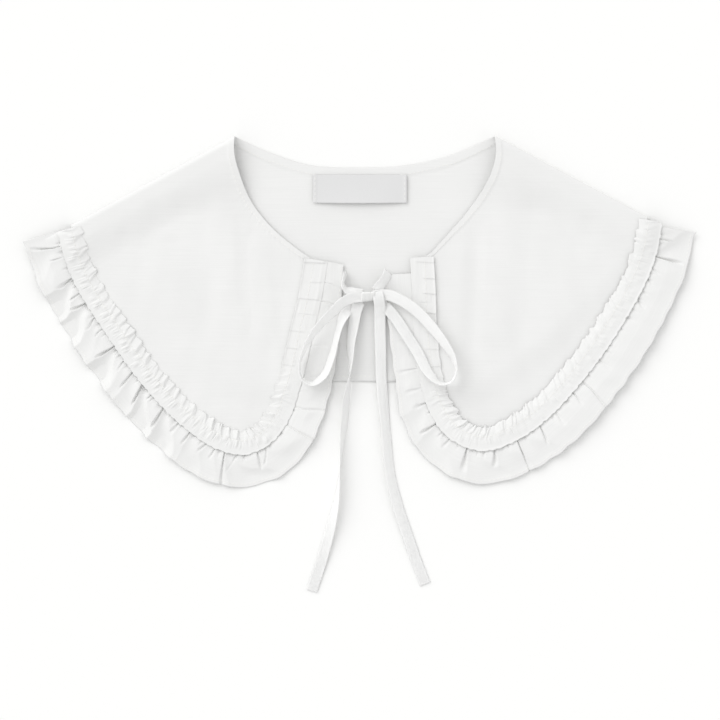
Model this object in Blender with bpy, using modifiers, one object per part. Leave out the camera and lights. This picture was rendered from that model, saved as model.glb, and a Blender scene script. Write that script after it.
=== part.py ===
"""A cape collar of white cotton with frilled fronts and a ribbon bow, laid flat on a table.

The back lies on the table. Each front folds over from a soft roll at the shoulder and lies on the
back. A pleated frill is sewn to the front's edge, and a gathered strip is sewn over that seam.

Lengths are in millimetres until a mesh is made. Across is measured outward from the middle, to
the left or to the right, up is towards the neck, and heights are above the table.
"""
import math

import bmesh
import bpy
import numpy as np
from mathutils import Vector

MM = 0.001

# Cloth
WALL = 1.0
GAP = 0.3
HALF_WALL = WALL / 2
ON_BACK = WALL + GAP

# Shoulder roll: its height is largest at the neck, and its crown is a flat band
ROLL_DEPTH = 3.2
ROLL_HALF_HEIGHT_NECK = 3.9
ROLL_HALF_HEIGHT_TIP = 2.2
ROLL_CROWN = 9.0
ROLL_REACH_NECK = 50.0
ROLL_REACH_TIP = 31.0
ROLL_FADE_PAST_TIP = 0.2
ROLL_LIP = 0.65
ROLL_STATIONS = (0.0, 0.0, 0.4, 1.5, 3.2)
ROLL_SLOPE_STATIONS = (6.0, 9.5, 13.0, 17.0, 21.0, 25.0, 29.5, 34.0)

# Back: a straight hem, then a sweep up to the shoulder tips
HEM_UP = -11.0
HEM_HALF_WIDTH = 70.0
HEM_SWEEP = 1.3
HEM_STEP_WIDTH = 18.0
HEM_POINTS = 60
BACK_COLUMNS = 22
BACK_ROWS = 4

# Fronts
FRONT_COLUMNS = 24
FRONT_ROWS = 8
SEAM_HALF_GAP = 0.25

# Frill: where its rows lie between seam and hem, and the share of the pleats' height each has
FRILL_ROWS = ((0.0, 0.0), (0.29, 0.55), (0.62, 0.9), (1.0, 1.0))
FRILL_MIDDLE = 15.0
FRILL_START = {"left": 1.5, "right": 4.5}
FRILL_STOPS_SHORT = {"left": 0.0, "right": 10.0}

# Pleats: phase and height of the points across one
PLEAT_PITCH = 13.0
PLEAT_SHAPE = ((0.07, 0.0), (0.27, 0.82), (0.5, 1.0), (0.73, 0.82), (0.93, 0.0))
PLEAT_SOFT_DEPTH = 0.5
PLEAT_UNEVEN = 0.14
PLEAT_BEAT = 2.3
PLEAT_SCALLOP = 0.9
PLEAT_FLOOR = 0.1

# Gathered strip: each row's distance outside the gathering line, puff height and scallop
STRIP_ROWS = ((-6.5, 1.9, 0.7), (-3.3, 2.4, 0.0), (0.0, 0.3, 0.0), (9.0, 1.0, 0.5))
STRIP_CLEARANCE = 0.45
STRIP_START = 1.8
PUFF_PITCH = 7.2
PUFF_SHAPE = ((0.1, 0.0), (0.38, 1.0), (0.62, 1.0), (0.9, 0.0))
PUFF_UNEVEN = 0.25
PUFF_BEAT = 0.48

# Label, bare, on the inside of the back
LABEL_MIDDLE = (0.3, 114.4)
LABEL_SIZE = (61.0, 18.2)
LABEL_LIFT = 1.3
LABEL_COLUMNS = 10
LABEL_ROWS = 3

# Ribbon ties
RIBBON_WIDTH = 7.2
RIBBON_STEP = 5.5
RIBBON_REACH = 1.0
KNOT_MIDDLE = (5.5, 44.2, 5.9)
KNOT_SIZE = (9.0, 6.4, 7.8)
KNOT_ROUNDING = 2.0

# Colours
COTTON = (0.86, 0.855, 0.84, 1.0)
RIBBON = (0.84, 0.835, 0.82, 1.0)
SATIN = (0.7, 0.69, 0.68, 1.0)

# Shoulder folds, from the neck to the tip: across, up
SHOULDER = {
    "left": ((80.9, 148.3), (187.5, 90.3)),
    "right": ((87.5, 148.5), (187.5, 95.5)),
}

# The front's neck edge, from the shoulder fold to the front edge
NECK_COLUMNS = ("across", "up")
FRONT_NECK = {
    "left": (
        (80.9, 148.3),
        (81.0, 138.0),
        (77.0, 122.0),
        (71.0, 107.5),
        (60.0, 92.5),
        (49.0, 82.0),
        (35.4, 71.5),
    ),
    "right": (
        (87.5, 148.5),
        (88.3, 138.0),
        (85.5, 125.0),
        (80.0, 114.0),
        (68.0, 97.0),
        (57.0, 84.5),
        (46.5, 73.0),
    ),
}

# The back's neck edge, from the left shoulder to the right one
PLAN_COLUMNS = ("x", "up")
BACK_NECK = (
    (-80.9, 148.3),
    (-58.0, 138.0),
    (-32.0, 129.8),
    (0.0, 128.2),
    (33.0, 130.0),
    (59.0, 136.3),
    (87.5, 148.5),
)

# The front's edge, from the shoulder tip round to the neck. Across and up place the seam, frill
# is the frill's width there, and rise is its pleats' height.
EDGE_COLUMNS = ("across", "up", "frill", "rise")
FRONT_EDGE = {
    "left": (
        (187.5, 90.3, 32.5, 4.5),
        (179.8, 64.0, 31.0, 5.0),
        (156.0, 24.0, 31.0, 5.4),
        (132.5, -8.5, 31.0, 5.4),
        (108.5, -33.0, 31.0, 5.2),
        (88.0, -46.5, 31.0, 5.0),
        (75.5, -49.2, 31.0, 4.8),
        (65.0, -45.0, 31.0, 4.4),
        (54.8, -33.0, 29.5, 4.0),
        (47.5, -13.0, 29.0, 3.2),
        (38.8, 22.5, 26.0, 2.6),
        (33.5, 45.0, 22.5, 2.4),
        (29.6, 68.5, 20.0, 2.2),
    ),
    "right": (
        (187.5, 95.5, 32.5, 4.5),
        (183.4, 73.0, 31.0, 5.0),
        (162.5, 30.5, 31.5, 5.6),
        (133.8, -9.0, 32.0, 5.6),
        (117.0, -27.0, 32.0, 5.4),
        (99.8, -39.7, 31.5, 5.2),
        (78.5, -46.6, 31.0, 4.8),
        (64.0, -40.5, 29.5, 4.4),
        (53.0, -25.0, 27.5, 4.0),
        (48.0, -8.0, 25.0, 3.2),
        (44.2, 22.5, 25.0, 2.6),
        (43.2, 48.8, 27.0, 2.4),
        (42.0, 70.0, 26.5, 2.2),
    ),
}

# The deepest tucks of the frill, where each one starts beside the strip: across, up.
# Softer pleats fill the stretches between them evenly.
DEEP_TUCKS = {
    "left": (
        (187.5, 55.0),
        (178.4, 40.3),
        (159.6, 13.0),
        (142.0, -13.7),
        (127.7, -27.3),
        (110.2, -42.9),
        (89.4, -55.9),
        (63.4, -55.3),
        (45.2, -41.0),
        (38.0, -28.6),
        (28.0, 33.0),
        (24.0, 52.0),
    ),
    "right": (
        (192.0, 68.9),
        (175.8, 39.0),
        (144.0, -10.0),
        (118.0, -39.0),
        (103.0, -49.4),
        (86.1, -55.9),
        (69.2, -55.3),
        (58.8, -46.8),
        (49.1, -38.4),
        (43.9, -24.1),
        (36.0, -3.3),
        (36.0, 45.0),
    ),
}

# Soft folds on the fronts, as ridges from one place to another: across and up of both ends,
# half width and height
RIDGE_COLUMNS = ("across_a", "up_a", "across_b", "up_b", "half_width", "height")
RIDGES = {
    "left": (
        (86.0, 100.0, 82.0, 30.0, 17.0, 1.5),
        (66.0, 76.0, 62.0, 20.0, 13.0, 1.0),
        (128.0, 62.0, 112.0, 12.0, 20.0, 1.2),
    ),
    "right": (
        (96.0, 104.0, 90.0, 24.0, 18.0, 1.6),
        (66.0, 70.0, 64.0, 18.0, 12.0, 1.0),
        (138.0, 66.0, 120.0, 14.0, 20.0, 1.3),
    ),
}

# Ribbons of the bow: x, up, lift above what they lie on, and bank in degrees, which is positive
# where the edge on the right of the way along the ribbon is the higher one
RIBBON_COLUMNS = ("x", "up", "lift", "bank")
RIBBONS = {
    "tie_left": (
        (-9.8, 62.5, 2.9, 52.0),
        (-10.4, 56.5, 3.0, 48.0),
        (-8.8, 50.4, 3.1, 20.0),
        (-4.6, 46.6, 3.6, 0.0),
        (0.4, 45.4, 3.7, 0.0),
    ),
    "tie_right": (
        (16.4, 59.8, 3.9, 50.0),
        (14.2, 55.2, 3.9, 45.0),
        (12.2, 51.6, 3.8, 20.0),
        (10.8, 48.4, 3.7, 0.0),
    ),
    "loop_left": (
        (0.4, 44.2, 5.1, 0.0),
        (-3.0, 43.9, 5.3, 0.0),
        (-8.6, 41.8, 6.0, 12.0),
        (-18.5, 33.4, 6.2, 32.0),
        (-28.9, 22.6, 6.4, 48.0),
        (-36.4, 9.8, 6.4, 58.0),
        (-38.6, -1.0, 6.4, 60.0),
        (-36.4, -9.2, 6.4, 58.0),
        (-30.9, -11.9, 6.2, 56.0),
        (-24.0, -7.6, 6.0, 52.0),
        (-18.8, 3.3, 5.6, 48.0),
        (-15.6, 16.0, 4.6, 46.0),
        (-12.4, 26.0, 3.8, 30.0),
        (-10.9, 31.0, 3.6, 2.0),
        (-7.4, 35.8, 2.7, 0.0),
        (-3.4, 38.4, 1.1, 0.0),
        (0.4, 39.2, 0.9, 0.0),
    ),
    "loop_right": (
        (10.4, 44.8, 6.7, 0.0),
        (13.4, 45.2, 6.7, 0.0),
        (18.5, 45.4, 6.7, 0.0),
        (26.3, 42.6, 6.8, -8.0),
        (36.1, 36.2, 6.9, -14.0),
        (45.6, 26.0, 6.9, -24.0),
        (54.0, 14.8, 6.6, -42.0),
        (60.0, 4.4, 6.0, -58.0),
        (61.2, -4.0, 5.6, -64.0),
        (58.0, -10.2, 5.6, -60.0),
        (52.0, -10.8, 5.8, -50.0),
        (45.8, -4.4, 6.0, -36.0),
        (38.0, 8.5, 5.8, -22.0),
        (29.6, 20.8, 5.2, -12.0),
        (22.8, 29.8, 3.9, 0.0),
        (16.2, 37.0, 3.8, 0.0),
        (12.8, 39.6, 2.6, 0.0),
        (10.4, 40.4, 1.9, 0.0),
    ),
    "tail_left": (
        (0.0, 41.2, 2.6, 0.0),
        (-1.4, 37.4, 4.5, 0.0),
        (-2.5, 33.6, 5.7, 0.0),
        (-3.3, 29.4, 5.4, -10.0),
        (-4.2, 24.0, 2.8, -24.0),
        (-5.5, 15.0, 0.0, -42.0),
        (-5.7, 4.6, 0.0, -64.0),
        (-6.1, -4.6, 0.0, -86.0),
        (-8.1, -19.5, 0.0, -122.0),
        (-9.8, -35.8, 0.0, -126.0),
        (-11.4, -52.0, 0.0, -110.0),
        (-12.7, -68.3, 0.0, -90.0),
        (-14.8, -87.8, 0.0, -62.0),
        (-19.2, -107.3, 0.0, -26.0),
        (-25.0, -128.0, 0.0, -6.0),
        (-31.2, -146.9, 0.0, 0.0),
    ),
    "tail_right": (
        (14.1, 43.8, 5.2, 0.0),
        (13.7, 36.0, 5.5, 0.0),
        (13.4, 29.0, 5.2, 0.0),
        (13.4, 21.0, 2.4, 0.0),
        (13.6, 12.0, 0.2, 6.0),
        (13.8, 4.0, 0.0, 10.0),
        (14.1, -6.5, 0.0, 14.0),
        (15.9, -29.3, 0.0, 26.0),
        (17.6, -48.8, 0.0, 32.0),
        (20.0, -71.5, 0.0, 28.0),
        (24.6, -91.0, 0.0, 16.0),
        (31.5, -111.8, 0.0, 6.0),
        (38.0, -130.7, 0.0, 0.0),
        (42.6, -142.4, 0.0, 0.0),
    ),
}

SIDES = {"left": -1, "right": 1}


def smooth(t):
    """An even step from 0 to 1, level at both ends."""
    t = min(max(t, 0.0), 1.0)
    return t * t * (3 - 2 * t)


def blend(a, b, t):
    return a + (b - a) * t


class Curve:
    """A smooth curve through a table's rows, read by its length along the plan."""

    def __init__(self, rows, columns):
        self.columns = columns
        self.points = np.array(rows, float)
        steps = np.linalg.norm(np.diff(self.points[:, :2], axis=0), axis=1)
        self.knots = np.concatenate([[0.0], np.cumsum(steps)])
        self.slopes = np.gradient(self.points, self.knots, axis=0)
        self.length = float(self.knots[-1])

    def row(self, distance):
        """All columns at a distance, as an array."""
        distance = min(max(distance, 0.0), self.length)
        last = len(self.knots) - 2
        k = min(int(np.searchsorted(self.knots, distance, side="right")) - 1, last)
        span = self.knots[k + 1] - self.knots[k]
        t = (distance - self.knots[k]) / span
        ease_in = t * (1 - t) ** 2 * span
        ease_out = t * t * (t - 1) * span
        start = (1 + 2 * t) * (1 - t) ** 2
        end = t * t * (3 - 2 * t)
        return (start * self.points[k] + end * self.points[k + 1]
                + ease_in * self.slopes[k] + ease_out * self.slopes[k + 1])

    def value(self, column, distance):
        return float(self.row(distance)[self.columns.index(column)])

    def point(self, distance):
        return Vector(self.row(distance)[:2])

    def along(self, distance):
        """The unit direction of the curve in plan."""
        reach = 0.2
        a = self.point(max(distance - reach, 0.0))
        b = self.point(min(distance + reach, self.length))
        return (b - a).normalized()

    def outward(self, distance):
        """The unit normal on the left of the way along, which points out of the garment."""
        along = self.along(distance)
        return Vector((-along.y, along.x))

    def nearest(self, place):
        distances = np.linspace(0.0, self.length, 800)
        return min(distances, key=lambda d: (self.point(d) - Vector(place)).length)


def hem_line(across):
    """The back's outer edge: its height up the garment and its slope, at a distance across."""
    past = abs(across) - HEM_HALF_WIDTH
    if past <= 0:
        return HEM_UP, 0.0
    tip_across, tip_up = SHOULDER["left"][1]
    width = tip_across - HEM_HALF_WIDTH
    rise = tip_up - HEM_UP
    up = HEM_UP + rise * (past / width) ** HEM_SWEEP
    slope = rise * HEM_SWEEP / width * (past / width) ** (HEM_SWEEP - 1)
    return up, slope


def level(across, up):
    """How far the back lifts a cloth that lies there: full over the back, nothing beyond it."""
    edge, slope = hem_line(across)
    beyond = (edge - up) / math.hypot(1.0, slope)
    return ON_BACK * (1 - smooth((beyond - 2 * GAP) / HEM_STEP_WIDTH))


def shoulder_frame(side, across, up):
    """Where a place lies by the shoulder fold: 0 to 1 along it, and its distance inside it."""
    neck, tip = (Vector(end) for end in SHOULDER[side])
    along = (tip - neck).normalized()
    inward = Vector((along.y, -along.x))
    place = Vector((across, up)) - neck
    return place.dot(along) / (tip - neck).length, place.dot(inward)


def roll_half_height(part):
    part = min(max(part, 0.0), 1.0)
    return blend(ROLL_HALF_HEIGHT_TIP, ROLL_HALF_HEIGHT_NECK, (1 - part) ** 2)


def roll_turn(inside):
    """The quarter turn of the roll, from 0 on the fold to 1 where it lies level."""
    t = 1 - min(max(inside / ROLL_DEPTH, 0.0), 1.0)
    return math.sqrt(1 - t * t)


def ridge_height(side, across, up):
    """The soft folds of a front, the highest where several meet."""
    place = Vector((across, up))
    height = 0.0
    for row in RIDGES[side]:
        ridge = dict(zip(RIDGE_COLUMNS, row))
        a = Vector((ridge["across_a"], ridge["up_a"]))
        b = Vector((ridge["across_b"], ridge["up_b"]))
        t = (place - a).dot(b - a) / (b - a).length_squared
        foot = a.lerp(b, min(max(t, 0.0), 1.0))
        near = 1 - (place - foot).length / ridge["half_width"]
        height = max(height, ridge["height"] * smooth(near))
    return height


def front_height(side, across, up):
    """The middle of a front's wall above the table, also read just beyond its edge."""
    part, inside = shoulder_frame(side, across, up)
    lift = level(across, up)
    half = roll_half_height(part)
    fade = 1 - smooth((part - 1) / ROLL_FADE_PAST_TIP)
    reach = blend(ROLL_REACH_NECK, ROLL_REACH_TIP, smooth(part / 0.5))
    if inside < ROLL_DEPTH:
        roll = half * (1 + roll_turn(inside))
    else:
        roll = 2 * half
    stays = 1 - smooth((inside - ROLL_CROWN) / (reach - ROLL_CROWN))
    rolled = blend(lift, roll * fade, stays) if roll * fade > lift else lift
    return HALF_WALL + max(rolled, lift) + ridge_height(side, across, up) * (1 - stays)


def back_height(side, across, up):
    """The middle of the back's wall: on the table, and up into the shoulder roll."""
    part, inside = shoulder_frame(side, across, up)
    return HALF_WALL + roll_half_height(part) * (1 - roll_turn(inside))


def cotton_material(name, colour, roughness):
    material = bpy.data.materials.new(name)
    material.use_nodes = True
    shader = material.node_tree.nodes["Principled BSDF"]
    shader.inputs["Base Color"].default_value = colour
    shader.inputs["Roughness"].default_value = roughness
    material.diffuse_color = colour
    return material


def sheet(name, columns, rows, place, material, collection):
    """A wall of cloth about a grid: place(i, j) gives the middle of the wall in millimetres."""
    shape = bmesh.new()
    bmesh.ops.create_grid(shape, x_segments=columns, y_segments=rows, size=0.5)
    for vertex in shape.verts:
        i = round((vertex.co.x + 0.5) * columns)
        j = round((vertex.co.y + 0.5) * rows)
        vertex.co = Vector(place(i, j)) * MM
    mesh = bpy.data.meshes.new(name)
    shape.to_mesh(mesh)
    shape.free()
    mesh.materials.append(material)
    mesh.shade_smooth()
    piece = bpy.data.objects.new(name, mesh)
    collection.objects.link(piece)
    wall = piece.modifiers.new("wall", "SOLIDIFY")
    wall.thickness = WALL * MM
    wall.offset = 0.0
    wall.use_even_offset = True
    return piece


def spread(first, length, count):
    """Distances that start with the given ones and then run evenly to the whole length."""
    rest = [blend(first[-1], length, k / count) for k in range(1, count + 1)]
    return list(first) + rest


def lipped(height, column, seam_height, direction):
    """At the fold the wall ends upright, half a gap from the seam's height, with a short lip."""
    if column > 1:
        return height
    return seam_height + direction * (SEAM_HALF_GAP + column * ROLL_LIP)


def build_back(material, collection):
    """The back, from the neck edge to the hem, with half of each shoulder roll at its sides."""
    neck = Curve(BACK_NECK, PLAN_COLUMNS)
    left_tip = (-SHOULDER["left"][1][0], SHOULDER["left"][1][1])
    right_tip = SHOULDER["right"][1]
    hem_points = [left_tip]
    for k in range(1, HEM_POINTS):
        x = blend(left_tip[0], right_tip[0], k / HEM_POINTS)
        hem_points.append((x, hem_line(x)[0]))
    hem_points.append(right_tip)
    hem = Curve(hem_points, PLAN_COLUMNS)
    edges = len(ROLL_STATIONS)
    columns = BACK_COLUMNS + 2 * edges - 1

    def station(curve, i):
        if i < edges:
            return ROLL_STATIONS[i]
        if i > columns - edges:
            return curve.length - ROLL_STATIONS[columns - i]
        return blend(ROLL_STATIONS[-1], curve.length - ROLL_STATIONS[-1],
                     (i - edges + 1) / (columns - 2 * edges + 2))

    def place(i, j):
        point = neck.point(station(neck, i)).lerp(hem.point(station(hem, i)), j / BACK_ROWS)
        side = "left" if i < columns / 2 else "right"
        across = point.x * SIDES[side]
        height = back_height(side, across, point.y)
        part, _ = shoulder_frame(side, across, point.y)
        height = lipped(height, min(i, columns - i), HALF_WALL + roll_half_height(part), -1)
        return point.x, point.y, height

    return sheet("back", columns, BACK_ROWS, place, material, collection)


def build_front(side, material, collection):
    """One front, from its neck edge to the seam of the frill, with the upper half of the roll."""
    neck = Curve(FRONT_NECK[side], NECK_COLUMNS)
    edge = Curve(FRONT_EDGE[side], EDGE_COLUMNS)
    first = ROLL_STATIONS + ROLL_SLOPE_STATIONS
    at_neck = spread(first, neck.length, FRONT_COLUMNS)
    at_edge = spread(first, edge.length, FRONT_COLUMNS)
    columns = len(at_edge) - 1

    def place(i, j):
        top = neck.point(at_neck[i])
        bottom = edge.point(at_edge[i]) - edge.outward(at_edge[i]) * SEAM_HALF_GAP
        if at_edge[i] == 0.0:
            bottom = edge.point(0.0)
        point = top.lerp(bottom, j / FRONT_ROWS)
        height = front_height(side, point.x, point.y)
        part, _ = shoulder_frame(side, point.x, point.y)
        height = lipped(height, i, HALF_WALL + roll_half_height(part), 1)
        return point.x * SIDES[side], point.y, height

    return sheet("front_" + side, columns, FRONT_ROWS, place, material, collection)


def pleat_stations(edge, places, pitch, offset, shape, start, stop):
    """Distances along the edge and heights from 0 to 1, for every pleat between the tucks.

    The pleats are spaced along a line at the offset outside the edge, so that they fan out
    evenly round the corner.
    """
    distances = np.linspace(start, stop, 900)
    line = [edge.point(d) + edge.outward(d) * offset for d in distances]
    steps = [(b - a).length for a, b in zip(line, line[1:])]
    lengths = np.concatenate([[0.0], np.cumsum(steps)])
    tucks = [0.0]
    for place in places:
        tucks.append(float(np.interp(edge.nearest(place), distances, lengths)))
    tucks.append(float(lengths[-1]))
    stations = [(start, 0.0)]
    pleat = 0
    for a, b in zip(tucks, tucks[1:]):
        count = max(1, round((b - a) / pitch))
        for k in range(count):
            pleat += 1
            crest = 1 - PLEAT_UNEVEN * (1 - math.sin(PLEAT_BEAT * pleat))
            low_before = 0.0 if k == 0 else 1 - PLEAT_SOFT_DEPTH
            low_after = 0.0 if k == count - 1 else 1 - PLEAT_SOFT_DEPTH
            for phase, height in shape:
                low = low_before if phase < 0.5 else low_after
                length = blend(a, b, (k + phase) / count)
                distance = float(np.interp(length, lengths, distances))
                stations.append((distance, crest * blend(low, 1.0, height)))
    stations.append((stop, 0.0))
    return stations


def frill_rise(edge, distance, part):
    """The full height of the pleats at a part of the frill's width."""
    parts = [row[0] for row in FRILL_ROWS]
    shares = [row[1] for row in FRILL_ROWS]
    return edge.value("rise", distance) * float(np.interp(part, parts, shares))


def build_frill(side, material, collection):
    """The pleated frill outside a front's edge."""
    edge = Curve(FRONT_EDGE[side], EDGE_COLUMNS)
    stop = edge.length - FRILL_STOPS_SHORT[side]
    stations = pleat_stations(edge, DEEP_TUCKS[side], PLEAT_PITCH, FRILL_MIDDLE, PLEAT_SHAPE,
                              FRILL_START[side], stop)

    def place(i, j):
        distance, height = stations[i]
        part = FRILL_ROWS[j][0]
        width = edge.value("frill", distance) - PLEAT_SCALLOP * (1 - height)
        point = edge.point(distance) + edge.outward(distance) * (SEAM_HALF_GAP + part * width)
        lift = frill_rise(edge, distance, part) * height + PLEAT_FLOOR
        base = front_height(side, point.x, point.y)
        return point.x * SIDES[side], point.y, base + lift

    rows = len(FRILL_ROWS) - 1
    return sheet("frill_" + side, len(stations) - 1, rows, place, material, collection)


def build_strip(side, material, collection):
    """The gathered strip over the seam, with its puffed heading inward and its flap outward."""
    edge = Curve(FRONT_EDGE[side], EDGE_COLUMNS)
    stations = pleat_stations(edge, (), PUFF_PITCH, 0.0, PUFF_SHAPE, STRIP_START, edge.length)

    def place(i, j):
        distance, height = stations[i]
        offset, puff, scallop = STRIP_ROWS[j]
        offset += math.copysign(scallop * (height - 0.5), offset)
        point = edge.point(distance) + edge.outward(distance) * offset
        width = edge.value("frill", distance)
        under = frill_rise(edge, distance, offset / width) if offset > 0 else 0.0
        swell = puff * height * (1 + PUFF_UNEVEN * math.sin(PUFF_BEAT * i))
        base = front_height(side, point.x, point.y)
        return (point.x * SIDES[side], point.y,
                base + under + WALL + STRIP_CLEARANCE + swell)

    rows = len(STRIP_ROWS) - 1
    return sheet("strip_" + side, len(stations) - 1, rows, place, material, collection)


def build_label(material, collection):
    """A bare label on the back, its lower edge a little lifted."""
    def place(i, j):
        x = LABEL_MIDDLE[0] + LABEL_SIZE[0] * (i / LABEL_COLUMNS - 0.5)
        y = LABEL_MIDDLE[1] + LABEL_SIZE[1] * (0.5 - j / LABEL_ROWS)
        lift = LABEL_LIFT * (j / LABEL_ROWS) ** 2 * math.sin(math.pi * i / LABEL_COLUMNS)
        return x, y, HALF_WALL + ON_BACK + lift

    return sheet("label", LABEL_COLUMNS, LABEL_ROWS, place, material, collection)


def build_ribbon(name, material, collection):
    """A flat ribbon along its table's curve, banked as the table says."""
    curve = Curve(RIBBONS[name], RIBBON_COLUMNS)
    count = max(2, round(curve.length / RIBBON_STEP))

    def middle(distance):
        x, up, lift, bank = curve.row(distance)
        turn = math.radians(bank)
        stands = RIBBON_WIDTH / 2 * abs(math.sin(turn)) + HALF_WALL * abs(math.cos(turn))
        return Vector((x, up, level(abs(x), up) + lift + stands)), turn

    def place(i, j):
        distance = curve.length * i / count
        point, turn = middle(distance)
        before, _ = middle(max(distance - RIBBON_REACH, 0.0))
        after, _ = middle(min(distance + RIBBON_REACH, curve.length))
        along = (after - before).normalized()
        right = along.cross(Vector((0.0, 0.0, 1.0))).normalized()
        upward = right.cross(along)
        across = right * math.cos(turn) + upward * math.sin(turn)
        return point + across * RIBBON_WIDTH * (j - 0.5)

    return sheet(name, count, 1, place, material, collection)


def build_knot(material, collection):
    """The knot as a rounded block where the ribbons meet."""
    bpy.ops.mesh.primitive_cube_add(size=1.0)
    knot = bpy.context.active_object
    knot.name = "knot"
    knot.data.name = "knot"
    for vertex in knot.data.vertices:
        vertex.co = Vector(a * b * MM for a, b in zip(vertex.co, KNOT_SIZE))
    knot.location = Vector(KNOT_MIDDLE) * MM
    rounding = knot.modifiers.new("rounding", "BEVEL")
    rounding.width = KNOT_ROUNDING * MM
    rounding.segments = 3
    knot.data.materials.append(material)
    knot.data.shade_smooth()
    for other in list(knot.users_collection):
        other.objects.unlink(knot)
    collection.objects.link(knot)
    return knot


def centre_on_table(pieces):
    """Puts the middle of the pieces' box over the origin."""
    graph = bpy.context.evaluated_depsgraph_get()
    corners = []
    for piece in pieces:
        solid = piece.evaluated_get(graph)
        corners += [solid.matrix_world @ Vector(corner) for corner in solid.bound_box]
    middle_x = (min(c.x for c in corners) + max(c.x for c in corners)) / 2
    middle_y = (min(c.y for c in corners) + max(c.y for c in corners)) / 2
    for piece in pieces:
        piece.location.x -= middle_x
        piece.location.y -= middle_y


def main():
    for old in list(bpy.data.objects):
        bpy.data.objects.remove(old, do_unlink=True)
    collection = bpy.data.collections.new("ruffled_collar")
    bpy.context.scene.collection.children.link(collection)
    cotton = cotton_material("white_cotton", COTTON, 0.85)
    ribbon = cotton_material("cotton_ribbon", RIBBON, 0.8)
    satin = cotton_material("woven_label", SATIN, 0.5)
    pieces = [build_back(cotton, collection), build_label(satin, collection)]
    for side in SIDES:
        pieces.append(build_front(side, cotton, collection))
        pieces.append(build_frill(side, cotton, collection))
        pieces.append(build_strip(side, cotton, collection))
    for name in RIBBONS:
        pieces.append(build_ribbon(name, ribbon, collection))
    pieces.append(build_knot(ribbon, collection))
    centre_on_table(pieces)


main()
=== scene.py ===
"""The looks of a white cotton cape collar with frilled fronts and a ribbon bow, laid flat.

Lengths are in millimetres until a mesh is made, in the part's own frame before it is centred.
Across is measured outward from the middle, to the left or to the right, up is towards the neck,
and heights are above the table. Each piece of cloth is a fine grid over the form of its solid,
with the tucks, puffs and creases placed from the tables below.
"""
import math

import bpy
import numpy as np
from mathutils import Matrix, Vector


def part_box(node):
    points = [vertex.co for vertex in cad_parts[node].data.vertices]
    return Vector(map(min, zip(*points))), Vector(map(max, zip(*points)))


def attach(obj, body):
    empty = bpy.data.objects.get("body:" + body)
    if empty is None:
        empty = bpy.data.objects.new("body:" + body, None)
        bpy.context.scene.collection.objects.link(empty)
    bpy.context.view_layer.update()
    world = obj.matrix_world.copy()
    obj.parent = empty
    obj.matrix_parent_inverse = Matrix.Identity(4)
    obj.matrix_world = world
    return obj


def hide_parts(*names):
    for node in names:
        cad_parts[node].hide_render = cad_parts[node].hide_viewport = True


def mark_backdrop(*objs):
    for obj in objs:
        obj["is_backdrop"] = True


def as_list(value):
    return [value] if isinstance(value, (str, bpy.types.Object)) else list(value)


MM = 0.001
SIDES = {"left": -1, "right": 1}

# Sizes of the solids, as in the part's source, and how the cloths follow them
WALL = 1.0
GAP = 0.3
HALF_WALL = WALL / 2
ON_BACK = WALL + GAP
ROLL_DEPTH = 3.2
ROLL_HALF_HEIGHT_NECK = 3.9
ROLL_HALF_HEIGHT_TIP = 2.2
ROLL_CROWN = 9.0
ROLL_REACH_NECK = 50.0
ROLL_REACH_TIP = 31.0
ROLL_FADE_PAST_TIP = 0.2
ROLL_SLOPE_END = 34.0
ROLL_SLOPE_STEP = 1.2
HEM_UP = -11.0
HEM_HALF_WIDTH = 70.0
HEM_SWEEP = 1.3
HEM_STEP_WIDTH = 18.0
HEM_POINTS = 60
SEAM_HALF_GAP = 0.25
FRILL_PARTS = (0.0, 0.29, 0.62, 1.0)
FRILL_SHARES = {"left": (0.0, 0.46, 0.8, 0.9), "right": (0.0, 0.58, 0.78, 0.76)}
FRILL_MIDDLE = 15.0
FRILL_HEM_PART = 0.9
FRILL_START = {"left": 1.5, "right": 4.5}
FRILL_STOPS_SHORT = {"left": 0.0, "right": 10.0}
STRIP_START = 1.8
LABEL_MIDDLE = (0.3, 114.4)
LABEL_SIZE = (61.0, 18.2)
LABEL_LIFT = 1.3
LABEL_BOW = 0.35
RIBBON_WIDTH = 7.2
RIBBON_REACH = 1.0
KNOT_MIDDLE = (5.5, 44.2, 5.9)
KNOT_SIZE = (9.0, 6.4, 7.8)
KNOT_TILT = 0.6
KNOT_SLOPE = 0.2

# Thickness of the real cloths as drawn, folded hems and all
POPLIN = 0.38
TAPE = 0.45
SATIN = 0.35
THINNER = (WALL - POPLIN) / 2

# Grids of the cloths: rows from the inner edge outward, columns along the edge, and a power,
# which over 1 crowds the rows towards the inner edge
BACK_GRID = (90, 180, 1.2)
FRONT_GRID = (110, 170, 1.25)
FRILL_GRID = (40, 860, 0.9)
STRIP_INNER_ROWS = 17
STRIP_OUTER_ROWS = 18
STRIP_COLUMNS = 1060

# Shoulder folds, from the neck to the tip: across, up
SHOULDER = {
    "left": ((80.9, 148.3), (187.5, 90.3)),
    "right": ((87.5, 148.5), (187.5, 95.5)),
}

# The front's neck edge, from the shoulder fold to the front edge: across, up
FRONT_NECK = {
    "left": (
        (80.9, 148.3), (81, 138), (77, 122), (71, 107.5), (60, 92.5), (49, 82),
        (35.4, 71.5),
    ),
    "right": (
        (87.5, 148.5), (88.3, 138), (85.5, 125), (80, 114), (68, 97), (57, 84.5),
        (46.5, 73),
    ),
}

# The back's neck edge, from the left shoulder to the right one: x, up
BACK_NECK = (
    (-80.9, 148.3), (-58, 138), (-32, 129.8), (0, 128.2), (33, 130), (59, 136.3),
    (87.5, 148.5),
)

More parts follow.
